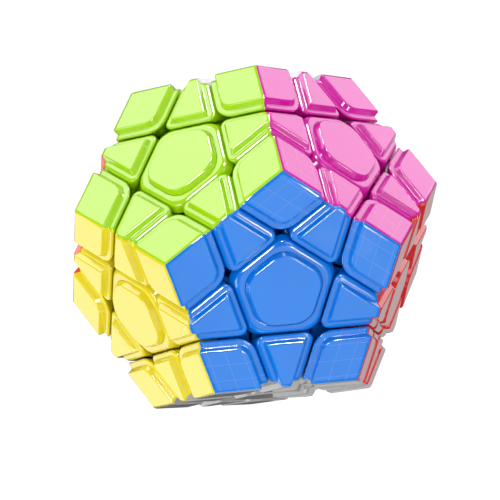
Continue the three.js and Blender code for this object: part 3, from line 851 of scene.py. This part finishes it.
def centre_body(face, boss_bottom, bored):
    axis, toward = AXES[face], AXES[neighbours(face)[0]]
    top = FOOT_BOTTOM - SLIP
    boss_angle, post_angle = math.asin(BOSS_RADIUS / SKIRT_BOTTOM), math.asin(POST_RADIUS / top)
    rings = [round_ring(axis, toward, BOSS_RADIUS - back, boss_bottom + up)
             for up, back in ((0, 0.5), (0.15, 0.15), (0.5, 0))]
    for i in range(SKIRT_STEPS + 1):
        angle = boss_angle + (SKIRT_ANGLE - boss_angle) * i / SKIRT_STEPS
        drawn_in = RIM_DRAWN_IN if i == SKIRT_STEPS else 0
        rings.append(ball_ring(axis, toward, SKIRT_BOTTOM, angle - drawn_in))
    rings.append(ball_ring(axis, toward, SKIRT_BOTTOM + SHOULDER, SKIRT_ANGLE))
    rings.append(ball_ring(axis, toward, top - SHOULDER, SKIRT_ANGLE))
    for i in range(SKIRT_STEPS + 1):
        angle = SKIRT_ANGLE + (post_angle - SKIRT_ANGLE) * i / SKIRT_STEPS
        rings.append(ball_ring(axis, toward, top, angle - (0 if i else RIM_DRAWN_IN)))
    rings.append(ball_ring(axis, toward, FOOT_BOTTOM + SLIP, post_angle))
    cones = cone_limits([], neighbours(face))
    foot = FOOT_BOTTOM + SLIP
    for radius, back in ((foot, SHOULDER), (foot + SHOULDER, 0), (FOOT_TOP - 2, 0)):
        rings.append(leaning_ring(axis, toward, radius, cones, back))
    lid = INRADIUS - WALL_DEPTH + FIT
    rings.append([p * (lid / p.dot(axis)) for p in rings[-1]])
    well_floor, tube_floor = INRADIUS + WELL_FLOOR - LINING, INRADIUS + TUBE_FLOOR - LINING
    inner = [(WELL_RADIUS + LINING, lid), (WELL_RADIUS + LINING, well_floor)]
    if bored:
        inner += [(TUBE_RADIUS + LINING, well_floor), (TUBE_RADIUS + LINING, tube_floor),
                  (SHANK_HOLE, tube_floor), (SHANK_HOLE, boss_bottom)]
    rings += [round_ring(axis, toward, radius, level) for radius, level in inner]
    return ringed_mesh("body_" + face, rings, hole=bored)


sample = centre_body("pink", ARM_END, True)
print("centre body faces", len(sample.polygons), "open edges", open_edges(sample))
bpy.data.meshes.remove(sample)

# %% [markdown]
# ## Putting pieces in place
#
# A copy of the mesh is moved into the row frame, shaded smooth, and given its material. Smooth shading
# alone would smear light across the big flats, because every vertex on a rim averages a flat with a tiny
# fillet face. The Weighted Normal modifier lets the large faces win, so flats stay flat and rims roll
# over cleanly.

# %% The placing helper
SHARP = math.radians(38)


def put(name, mesh, materials, body, *nodes, slot=None):
    """Makes mesh a piece of the puzzle that rides on a body and stands for those CAD nodes."""
    piece = bpy.data.objects.new(name, mesh)
    bpy.context.scene.collection.objects.link(piece)
    for material in materials:
        mesh.materials.append(material)
    mesh.shade_smooth()
    mesh.set_sharp_from_angle(angle=SHARP)
    even = piece.modifiers.new("even_shading", "WEIGHTED_NORMAL")
    even.keep_sharp = True
    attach(piece, body)
    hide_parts(*nodes)
    return piece


def on_face(mesh, face, other):
    """A copy of a tile made in the flat, moved onto a face with its X axis towards another."""
    copy = mesh.copy()
    copy.transform(standing_on(face, other))
    return copy


def in_row_frame(mesh):
    """Moves a mesh made in millimetres about the puzzle's middle into the row frame."""
    mesh.transform(Matrix.Scale(MM, 4) @ Matrix.Translation(CENTRE))
    return mesh


def add_tile_map(mesh):
    """A UV map in millimetres along a corner tile's two outer edges, measured from its outer corner."""
    layer = mesh.uv_layers.new(name="Tile")
    slant = math.sin(FIFTH)
    for loop in mesh.loops:
        p = mesh.vertices[loop.vertex_index].co.xy
        layer.data[loop.index].uv = [(FACE_APOTHEM - p.dot(edge)) / slant for edge in (TOWARDS, NEXT)]


add_tile_map(corner_tile)
print("tile map on", corner_tile.name, "loops", len(corner_tile.loops))

# %% [markdown]
# ## Corner pieces
#
# Each of the twenty corners wears three tiles. Going round the piece, every colour in turn is the face
# that the tile lies on, and the next colour gives the direction of its X axis.

# %% Corners
for colours in CORNERS:
    node = "corner_" + "_".join(colours)
    for i, face in enumerate(colours):
        # Tiles of these corners get the painted window reflection in their colour.
        finish = WINDOW_REFLECTED if colours in WINDOW_REFLECTED_PIECES else PLASTIC
        other = colours[(i + 1) % 3]
        put(f"tile_{face}_{node}", on_face(corner_tile, face, other), [finish[face]],
            body_for(colours), node, slot=face + "_plastic")
    put("stalk_" + node, in_row_frame(stalk("stalk_" + node, colours)),
        [PLASTIC[c] for c in colours], body_for(colours), node)
print("corner pieces", len(CORNERS))

# %% [markdown]
# ## Edge pieces
#
# The thirty edges wear two tiles each, one on either side of the ridge.

# %% Edges
for colours in EDGES:
    node = "edge_" + "_".join(colours)
    for face, other in (colours, colours[::-1]):
        put(f"tile_{face}_{node}", on_face(edge_tile, face, other), [PLASTIC[face]],
            body_for(colours), node, slot=face + "_plastic")
    put("stalk_" + node, in_row_frame(stalk("stalk_" + node, colours)),
        [PLASTIC[c] for c in colours], body_for(colours), node)
print("edge pieces", len(EDGES))

# %% [markdown]
# ## Centres, caps and the bore
#
# Nine centres stay with the core. The three that turn also need a bore for the screw, so their base goes
# on from the cap's socket down to the spring's seat and out through the hole for the screw's shank.

# %% Centres and caps
tube = ((TUBE_RADIUS, TUBE_FLOOR), (TUBE_RADIUS, WELL_FLOOR))
bore = ((BORE, PLUG_END - FIT), (BORE, SEAT), (SHANK_HOLE, SEAT), (SHANK_HOLE, TUBE_FLOOR))
bored_base = ringed_mesh("bored_base", circles(tube + well) + base_rings + circles(socket + bore), hole=True)
for face in AXES:
    other = neighbours(face)[0]
    turns = face in TURNING
    node = "centre_" + face if turns else "core_and_fixed_centres"
    cap_node = "cap_" + face if turns else node
    rides = face + "_layer" if turns else "puzzle"
    put("base_" + face, on_face(bored_base if turns else closed_base, face, other), [PLASTIC[face]],
        rides, node, slot=face + "_plastic")
    put("cap_piece_" + face, on_face(cap, face, other), [PLASTIC[face]],
        face + "_cap" if turns else "puzzle", cap_node, slot=face + "_plastic")
print("bored base faces", len(bored_base.polygons), "open edges", open_edges(bored_base))

# %% [markdown]
# ## Under the tiles
#
# Each centre's body is turned about its own axis, and the core is a ball with twelve arms. Only glimpses
# of them show, through the openings where the round corners meet, but the layers turn about them, and a
# pulled cap shows the screw. The arms grow out of the hub as separate tubes, so they are fused into one
# skin by a fine voxel remesh and then smoothed, which leaves the soft fillets of a casting.

# %% Centre bodies and the core
HUB_RADIUS = 13.0
ARM_RADIUS = 5.0
ARM_CLEARANCE, ARM_OVERLAP = 0.5, 0.3  # a turning centre clears its arm, and a fixed one is joined to it
for face in AXES:
    turns = face in TURNING
    rides = face + "_layer" if turns else "puzzle"
    node = "centre_" + face if turns else "core_and_fixed_centres"
    body = centre_body(face, ARM_END + (ARM_CLEARANCE if turns else -ARM_OVERLAP), turns)
    put("body_of_" + face, in_row_frame(body), [PLASTIC[face]], rides, node)


def arm(face):
    """Rings of one arm of the core, wider at the hub."""
    axis, toward = AXES[face], AXES[neighbours(face)[0]]
    stations = ((4.0, 6.5), (HUB_RADIUS, 6.0), (ARM_END - 1, ARM_RADIUS), (ARM_END - 0.3, ARM_RADIUS),
                (ARM_END, ARM_RADIUS - 0.3))
    return [round_ring(axis, toward, radius, level) for level, radius in stations]


core_work = bmesh.new()
bmesh.ops.create_icosphere(core_work, subdivisions=5, radius=HUB_RADIUS)
for face in AXES:
    limb = ringed_mesh("limb", arm(face))
    core_work.from_mesh(limb)
    bpy.data.meshes.remove(limb)
core_mesh = bpy.data.meshes.new("core")
core_work.to_mesh(core_mesh)
core_work.free()
core = put("core", in_row_frame(core_mesh), [PLASTIC["core"]], "puzzle", "core_and_fixed_centres",
           slot="core_plastic")
fuse = core.modifiers.new("fuse", "REMESH")
fuse.mode = "VOXEL"
fuse.voxel_size = 0.4 * MM
fuse.use_smooth_shade = True
soften = core.modifiers.new("soften", "CORRECTIVE_SMOOTH")
soften.iterations = 6
soften.use_only_smooth = True
print("centre bodies", len(AXES), "core hub radius", HUB_RADIUS, "mm")

# %% [markdown]
# ## Screw steel
#
# The screws, washers and springs are bright zinc-plated steel. Drawn wire and turned heads carry very
# fine lines, so the steel is a metal whose roughness varies with a fine noise.

# %% Screw steel
steel, tree, shader = principled("screw_steel")
shader.inputs["Metallic"].default_value = 1.0
plated = grained(tree, (0.62, 0.62, 0.64), (0.5, 0.5, 0.53), polished=0.22, handled=0.38)
tree.links.new(plated["Colour"], shader.inputs["Base Color"])
tree.links.new(plated["Roughness"], shader.inputs["Roughness"])
print("material", steel.name)

# %% [markdown]
# ## Screws and springs
#
# Each turning centre is held by a screw, a washer and a spring, which lets the layer lift a little as it
# turns. The head has a cross recess, the shank has thread grooves, and the spring is a wire swept along
# a helix. A helix is easy to write as points, and a tube of rings round it is the same ring loft again.

# %% Screw, washer and spring
COILS = 5
STEPS_IN_COIL = 48
FLAT_SHARE = 0.12  # of the wire's length, lying flat at each end
WIRE = 0.35  # radius of the spring's wire
WIRE_POINTS = 12
THREAD_PITCH = 0.8
THREAD_DEPTH = 0.25
SCREW_END = 13.0 - INRADIUS
FLAT_AXIS, FLAT_TOWARD = Vector((0, 0, 1)), Vector((1, 0, 0))


def cross_ring(level, half_width, length, round_radius):
    """A ring that follows a cross inside the screw's head."""
    ring = []
    for i in range(RING_POINTS):
        turn = 2 * math.pi * i / RING_POINTS
        folded = abs((turn + math.pi / 4) % (math.pi / 2) - math.pi / 4)
        arm_side = half_width / max(math.sin(folded), 1e-6)
        ring.append(Vector((math.cos(turn), math.sin(turn), 0)) * min(length, max(arm_side, round_radius))
                    + FLAT_AXIS * level)
    return ring


def screw_rings():
    """The screw from its point up: threads, plain shank, domed head and cross recess."""
    head_top = HEAD_BOTTOM + SCREW_HEAD_HEIGHT
    rings = [round_ring(FLAT_AXIS, FLAT_TOWARD, r, z) for r, z in (
        (SHANK - 0.7, SCREW_END), (SHANK - 0.3, SCREW_END + 0.5))]
    grooves = int((HEAD_BOTTOM - 1 - SCREW_END - 0.7) / THREAD_PITCH * 2)
    for i in range(grooves):
        depth = 0.0 if i % 2 else THREAD_DEPTH
        rings.append(round_ring(FLAT_AXIS, FLAT_TOWARD, SHANK - depth,
                                SCREW_END + 0.7 + i * THREAD_PITCH / 2))
    rings += [round_ring(FLAT_AXIS, FLAT_TOWARD, r, z) for r, z in (
        (SHANK, HEAD_BOTTOM - 0.8), (SHANK, HEAD_BOTTOM), (SCREW_HEAD - 0.2, HEAD_BOTTOM),
        (SCREW_HEAD, HEAD_BOTTOM + 0.2), (SCREW_HEAD, head_top - 0.7), (SCREW_HEAD - 0.25, head_top - 0.25),
        (SCREW_HEAD - 0.8, head_top))]
    rings += [cross_ring(head_top, 0.5, 2.1, 0.75), cross_ring(head_top - 1.1, 0.35, 1.5, 0.5)]
    return rings


def spring_rings():
    """Rings of wire along a helix, with its ends lying flat."""
    coil = SPRING - WIRE
    steps = COILS * STEPS_IN_COIL
    rings = []
    for i in range(steps + 1):
        share = i / steps
        turn = COILS * 2 * math.pi * share
        climb = min(1.0, max(0.0, (share - FLAT_SHARE) / (1 - 2 * FLAT_SHARE)))
        middle = Vector((coil * math.cos(turn), coil * math.sin(turn),
                         SEAT + WIRE + 0.02 + (SPRING_LENGTH - 2 * WIRE - 0.04) * climb))
        outward = Vector((math.cos(turn), math.sin(turn), 0))
        rings.append([middle + WIRE * (outward * math.cos(t) + FLAT_AXIS * math.sin(t))
                      for t in (2 * math.pi * k / WIRE_POINTS for k in range(WIRE_POINTS))])
    return rings


washer_mesh = ringed_mesh("washer", [round_ring(FLAT_AXIS, FLAT_TOWARD, r, HEAD_BOTTOM - z) for r, z in (
    (SHANK + 0.1, 0.05), (WASHER - 0.1, 0.05), (WASHER, 0.15), (WASHER, WASHER_HEIGHT - 0.1),
    (WASHER - 0.1, WASHER_HEIGHT), (SHANK + 0.1, WASHER_HEIGHT))])
hardware = {"screw": ringed_mesh("screw", screw_rings()), "washer": washer_mesh,
            "spring": ringed_mesh("spring", spring_rings())}
for face in TURNING:
    for kind, mesh in hardware.items():
        put(f"{kind}_part_{face}", on_face(mesh, face, neighbours(face)[0]), [steel], "puzzle",
            "screw_" + face, slot="screw_steel")
print("hardware sets", len(TURNING), "pieces in each", len(hardware))

# %% [markdown]
# ## Floor and backdrop
#
# The puzzle stands on its grey face on a plain pale floor. The view is from slightly below, so the eye
# is under the floor's level: the floor's material shows only from above and lets the eye through from
# below, and the picture's background is the plain white of the world. The floor also lets light through,
# as a glass table would, because the grey face would be black if it rested on something solid.

# %% Floor
FLOOR_HALF = 3.0
FLOOR_GAP = 0.05 * MM  # so that the floor and the face on it don't share a plane
floor_mesh = bpy.data.meshes.new("floor")
floor_mesh.from_pydata([(x * FLOOR_HALF, y * FLOOR_HALF, cad_box[0].z - FLOOR_GAP)
                        for x, y in ((-1, -1), (1, -1), (1, 1), (-1, 1))], [], [(0, 1, 2, 3)])
floor = bpy.data.objects.new("floor", floor_mesh)
bpy.context.scene.collection.objects.link(floor)
floor_material, tree, shader = principled("pale_floor")
shader.inputs["Base Color"].default_value = (0.82, 0.82, 0.83, 1)
shader.inputs["Roughness"].default_value = 0.6
below = tree.nodes.new("ShaderNodeNewGeometry").outputs["Backfacing"]
eye = tree.nodes.new("ShaderNodeLightPath").outputs["Is Camera Ray"]
hidden = maths(tree, "MAXIMUM", below, maths(tree, "SUBTRACT", 1.0, eye))
clear = tree.nodes.new("ShaderNodeBsdfTransparent")
pick = tree.nodes.new("ShaderNodeMixShader")
tree.links.new(hidden, pick.inputs[0])
tree.links.new(shader.outputs["BSDF"], pick.inputs[1])
tree.links.new(clear.outputs["BSDF"], pick.inputs[2])
tree.links.new(pick.outputs["Shader"], tree.nodes["Material Output"].inputs["Surface"])
floor_mesh.materials.append(floor_material)
print("floor at", round(cad_box[0].z, 5))

# %% [markdown]
# ## Camera
#
# A long lens, a little to the left and a little below, with a slight roll. The angles are named, and the
# camera's place follows from them, so the view can be turned without working out positions again.

# %% Camera
AZIMUTH = math.radians(-10.257)
ELEVATION = math.radians(-8.011)
ROLL = math.radians(6.19)
DISTANCE = 0.4516
VIEW_ANGLE = math.radians(15.078)
CENTRE_RIGHT, CENTRE_UP = 0.73 * MM, 1.73 * MM  # where the puzzle's middle lies from the aim

back = Vector((math.sin(AZIMUTH) * math.cos(ELEVATION), -math.cos(AZIMUTH) * math.cos(ELEVATION),
               math.sin(ELEVATION)))
level_right = Vector((0, 0, 1)).cross(back).normalized()
level_up = back.cross(level_right)
right = level_right * math.cos(ROLL) - level_up * math.sin(ROLL)
up = level_right * math.sin(ROLL) + level_up * math.cos(ROLL)
lens = bpy.data.cameras.new("camera")
lens.sensor_fit = "HORIZONTAL"
lens.angle = VIEW_ANGLE
lens.clip_start = 0.01
camera = bpy.data.objects.new("camera", lens)
place = CENTRE * MM - right * CENTRE_RIGHT - up * CENTRE_UP + back * DISTANCE
camera.matrix_world = Matrix.Translation(place) @ Matrix((right, up, back)).transposed().to_4x4()
bpy.context.scene.collection.objects.link(camera)
bpy.context.scene.camera = camera
bpy.context.scene.view_settings.view_transform = "Standard"
print("camera at", tuple(round(c, 4) for c in place))

# %% [markdown]
# ## Light
#
# Glossy plastic shows the lights more than it shows itself. Each flat mirrors one direction, so a large
# softbox where a flat looks makes it milky, and a dark surround keeps the slopes saturated. The thin
# white lines along the rounded rims need small, very bright lights. Those would burn out the colours if
# they lit them too, so they are hidden from diffuse rays and only give glints.

# %% Softboxes
MIDDLE = CENTRE * MM


def softbox(name, direction, width, height, radiance, distance=1.2):
    """A rectangular light that looks at the puzzle from that direction."""
    light = bpy.data.lights.new(name, "AREA")
    light.shape = "RECTANGLE"
    light.size, light.size_y = width, height
    light.energy = radiance * math.pi * width * height
    box = bpy.data.objects.new(name, light)
    away = Vector(direction).normalized()
    box.location = MIDDLE + away * distance
    box.rotation_euler = away.to_track_quat("Z", "Y").to_euler()
    box.visible_camera = False
    bpy.context.scene.collection.objects.link(box)
    return box


softbox("upper_left_box", (-0.60, -0.09, 0.80), 0.8, 0.8, 2.2)
softbox("right_box", (0.755, 0.178, 0.631), 0.8, 0.8, 1.5)
softbox("low_left_box", (-0.643, 0.709, -0.291), 0.8, 0.8, 1.0)
softbox("left_fill", (-0.9, -0.45, -0.5), 0.6, 0.6, 2.7)
softbox("front_fill", (0.5, -0.85, 0.2), 0.5, 0.5, 1.6)
softbox("under_box", (0.176, -0.694, -0.695), 0.9, 0.6, 0.6)
softbox("back_right_box", (0.484, 0.874, -0.023), 0.8, 0.8, 0.35)
softbox("ground_box", (0.0, 0.0, -1.0), 0.5, 0.5, 0.9)
for name, direction, width, height, radiance in (
    ("front_glint", (0.176, -0.694, 0.695), 0.12, 0.12, 260.0),
    ("top_glint", (0.176, -0.254, 0.95), 0.25, 0.1, 60.0),
    ("left_glint", (-0.37, -0.92, 0.03), 0.2, 0.34, 32.0),
    ("right_glint", (0.33, -0.8, -0.5), 0.08, 0.3, 26.0),
):
    softbox(name, direction, width, height, radiance).visible_diffuse = False

# %% [markdown]
# ## A world with three faces
#
# A studio's air should be white behind the puzzle, soft in its shade and dark in its gloss, and no single
# colour is all three. The Light Path node tells which kind of ray asks, so each gets its own strength.

# %% World
WORLD_GLOSSY = 0.10
WORLD_DIFFUSE = 0.75  # added for diffuse rays
world = bpy.data.worlds.new("studio")
bpy.context.scene.world = world
world.use_nodes = True
tree = world.node_tree
path = tree.nodes.new("ShaderNodeLightPath")
sky = tree.nodes["Background"]
lit = maths(tree, "MULTIPLY_ADD", path.outputs["Is Diffuse Ray"], WORLD_DIFFUSE, WORLD_GLOSSY)
seen = maths(tree, "MULTIPLY_ADD", path.outputs["Is Camera Ray"], 1.0, lit)
tree.links.new(seen, sky.inputs["Strength"])
sky.inputs["Color"].default_value = (1, 1, 1, 1)
print("world", world.name)

# %% [markdown]
# ## The CAD's size
#
# The pieces must fill the same box as the CAD. Only the CAD's box is printed.

# %% The CAD's box
print("cad", [tuple(round(c, 4) for c in corner) for corner in cad_box])
